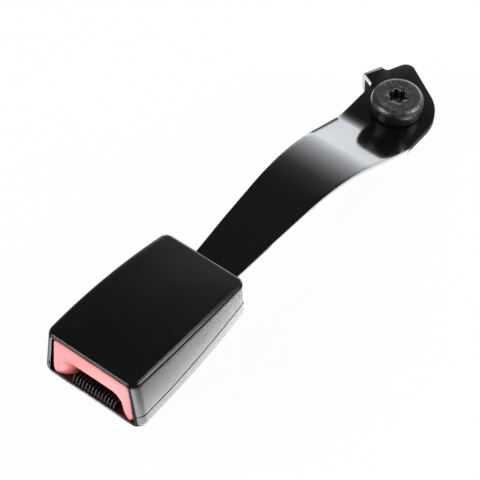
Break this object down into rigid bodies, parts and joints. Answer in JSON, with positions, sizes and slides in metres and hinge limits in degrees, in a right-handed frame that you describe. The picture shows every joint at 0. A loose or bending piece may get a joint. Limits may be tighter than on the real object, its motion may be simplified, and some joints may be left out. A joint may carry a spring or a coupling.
{
  "type": "seat belt buckle",
  "caption": "Seat belt buckle with a press button in its mouth, on a bent steel strap that ends in an anchor plate with its bolt.",
  "frame": {"origin": "on the anchor bolt's axis at the underside of the anchor plate", "axes": "+Z along the bolt towards its head, +Y from the mouth of the buckle to the anchor, +X to the right of someone who looks into the mouth"},
  "size_m": [0.052, 0.2371, 0.0561],
  "materials": {
    "cover_plastic": "fine-grained black moulding",
    "guide_plastic": "smooth black moulding",
    "button_plastic": "satin coral red moulding",
    "ejector_plastic": "natural moulding",
    "keeper_nylon": "natural nylon",
    "strap_paint": "glossy black coating",
    "frame_steel": "zinc plated",
    "pin_steel": "zinc plated",
    "bolt_steel": "mottled phosphate finish",
    "spring_steel": "drawn wire",
    "pad_foam": "soft foam"
  },
  "bodies": {
    "housing": {"upper_cover": "cover_plastic", "lower_cover": "cover_plastic", "buckle_frame": "frame_steel", "anchor_strap": "strap_paint", "frame_rivet_left": "pin_steel", "frame_rivet_right": "pin_steel", "tongue_guide": "guide_plastic", "frame_pad": "pad_foam", "latch_pivot_pin": "pin_steel", "pivot_clip": "spring_steel", "latch_spring": "spring_steel", "ejector_spring": "spring_steel", "button_spring_left": "spring_steel", "button_spring_right": "spring_steel"},
    "button": {"press_button": "button_plastic"},
    "latch": {"latch_plate": "frame_steel", "lift_pin": "pin_steel"},
    "ejector": {"ejector": "ejector_plastic"},
    "bolt": {"anchor_bolt": "bolt_steel", "shoulder_bush": "pin_steel", "bolt_keeper": "keeper_nylon"}
  },
  "joints": [
    {"name": "button_press", "type": "slide", "parent": "housing", "child": "button", "axis": [0, 1, 0], "range_m": [0, 0.006], "stiffness_N_per_m": 1500, "springref_m": -0.004, "deforming": ["button_spring_left", "button_spring_right"]},
    {"name": "latch_swing", "type": "hinge", "parent": "housing", "child": "latch", "pos_m": [0, -0.171, 0.0252], "axis": [-1, 0, 0], "range_deg": [0, 12], "deforming": ["latch_spring"]},
    {"name": "ejector_slide", "type": "slide", "parent": "housing", "child": "ejector", "axis": [0, 1, 0], "range_m": [0, 0.008], "stiffness_N_per_m": 600, "springref_m": -0.004, "deforming": ["ejector_spring"]},
    {"name": "bolt_spin", "type": "hinge", "parent": "housing", "child": "bolt", "pos_m": [0, 0, 0], "axis": [0, 0, 1], "continuous": true}
  ],
  "couplings": [
    {"joint": "latch_swing", "follows": "button_press", "rad_per_m": 34.9}
  ]
}
